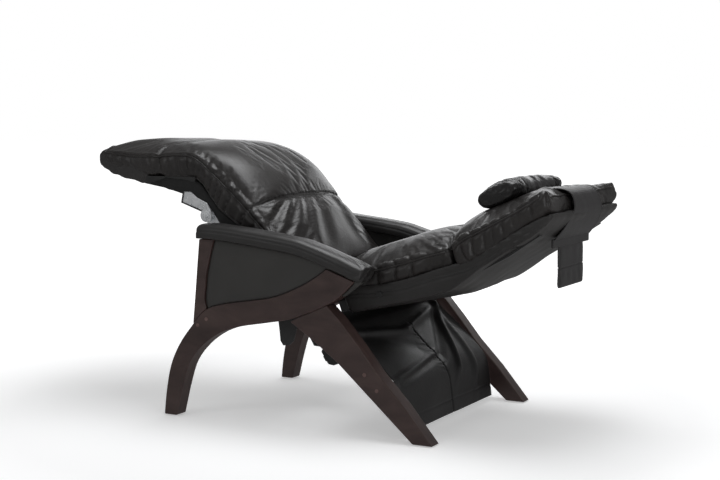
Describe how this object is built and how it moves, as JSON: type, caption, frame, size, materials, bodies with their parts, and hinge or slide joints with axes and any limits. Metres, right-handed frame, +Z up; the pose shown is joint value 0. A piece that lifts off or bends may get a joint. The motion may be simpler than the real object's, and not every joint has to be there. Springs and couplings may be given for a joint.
{
  "type": "zero gravity recliner",
  "caption": "Reclining lounge chair with bentwood sides, padded arms, leather seat, back and leg rest on linked hinges, and a sliding head pillow.",
  "frame": {"origin": "on the floor under the middle of the reclined chair", "axes": "+Z up; -Y is the way the chair faces, so the head end is at +Y; +X is the sitter's left side"},
  "size_m": [0.8, 1.603, 0.854],
  "materials": {
    "espresso_wood": "satin espresso stain",
    "black_leather": "soft semi-gloss leather",
    "black_fabric": "plain woven polyester",
    "arm_board": "black painted board",
    "black_steel": "black powder coat",
    "zinc_steel": "zinc plated",
    "black_plastic": "moulded"
  },
  "bodies": {
    "base": {"left_side_rail": "espresso_wood", "right_side_rail": "espresso_wood", "left_rear_leg": "espresso_wood", "right_rear_leg": "espresso_wood", "left_arm_post": "espresso_wood", "right_arm_post": "espresso_wood", "left_side_panel": "black_leather", "right_side_panel": "black_leather", "left_arm_board": "arm_board", "right_arm_board": "arm_board", "left_arm_pad": "black_leather", "right_arm_pad": "black_leather", "foot_glides": "black_plastic", "bolt_plugs": "espresso_wood", "front_crossbar": "black_steel", "rear_crossbar": "black_steel", "crossbar_flanges": "black_steel", "left_pivot_plate": "black_steel", "right_pivot_plate": "black_steel", "pivot_pins": "zinc_steel", "motor_bracket": "black_steel", "recline_motor": "black_plastic", "power_inlet": "black_plastic", "recline_channel": "zinc_steel", "skirt": "black_leather"},
    "slider": {"recline_slider": "black_plastic"},
    "seat": {"left_hanger": "black_steel", "right_hanger": "black_steel", "torque_tube": "black_steel", "crank": "black_steel", "left_seat_rail": "black_steel", "right_seat_rail": "black_steel", "seat_cross_tubes": "black_steel", "seat_sling": "black_fabric", "seat_cushion": "black_leather", "left_knee_plate": "zinc_steel", "right_knee_plate": "zinc_steel", "knee_pins": "zinc_steel", "back_hinge_pins": "zinc_steel"},
    "leg_rest": {"left_leg_bracket": "zinc_steel", "right_leg_bracket": "zinc_steel", "left_leg_rail": "black_steel", "right_leg_rail": "black_steel", "leg_cross_tubes": "black_steel", "leg_sling": "black_fabric", "leg_cushion": "black_leather", "foot_boot": "black_leather"},
    "back": {"left_back_bracket": "black_steel", "right_back_bracket": "black_steel", "left_back_rail": "black_steel", "right_back_rail": "black_steel", "back_cross_tubes": "black_steel", "tray_spacers": "black_steel", "back_tray": "black_leather", "lumbar_cushion": "black_leather", "upper_cushion": "black_leather", "head_strap": "black_leather"},
    "pillow": {"head_pillow": "black_leather"},
    "strap_tail": {"strap_band": "black_leather"},
    "weight": {"weight_pocket": "black_leather"}
  },
  "joints": [
    {"name": "recline", "type": "hinge", "parent": "base", "child": "seat", "pos_m": [0, -0.0305, 0.375], "axis": [1, 0, 0], "range_deg": [0, 29]},
    {"name": "back_fold", "type": "hinge", "parent": "seat", "child": "back", "pos_m": [0, 0.0445, 0.4], "axis": [1, 0, 0], "range_deg": [0, 13]},
    {"name": "leg_fold", "type": "hinge", "parent": "seat", "child": "leg_rest", "pos_m": [0, -0.3655, 0.634], "axis": [1, 0, 0], "range_deg": [0, 40.6]},
    {"name": "drive_slide", "type": "slide", "parent": "base", "child": "slider", "axis": [0, 0.829, 0.5592], "range_m": [0, 0.0425]},
    {"name": "pillow_slide", "type": "slide", "parent": "back", "child": "pillow", "axis": [0, 0.9205, 0.3907], "range_m": [0, 0.08]},
    {"name": "strap_slide", "type": "slide", "parent": "back", "child": "strap_tail", "axis": [0, 0, -1], "range_m": [0, 0.08]},
    {"name": "weight_swing", "type": "hinge", "parent": "strap_tail", "child": "weight", "pos_m": [0, 0.74373, 0.56737], "axis": [1, 0, 0], "range_deg": [-45, 30]}
  ],
  "couplings": [
    {"joint": "back_fold", "follows": "recline", "ratio": 0.448},
    {"joint": "leg_fold", "follows": "recline", "ratio": 1.4},
    {"joint": "drive_slide", "follows": "recline", "m_per_rad": 0.083},
    {"joint": "strap_slide", "follows": "pillow_slide", "ratio": 1}
  ]
}
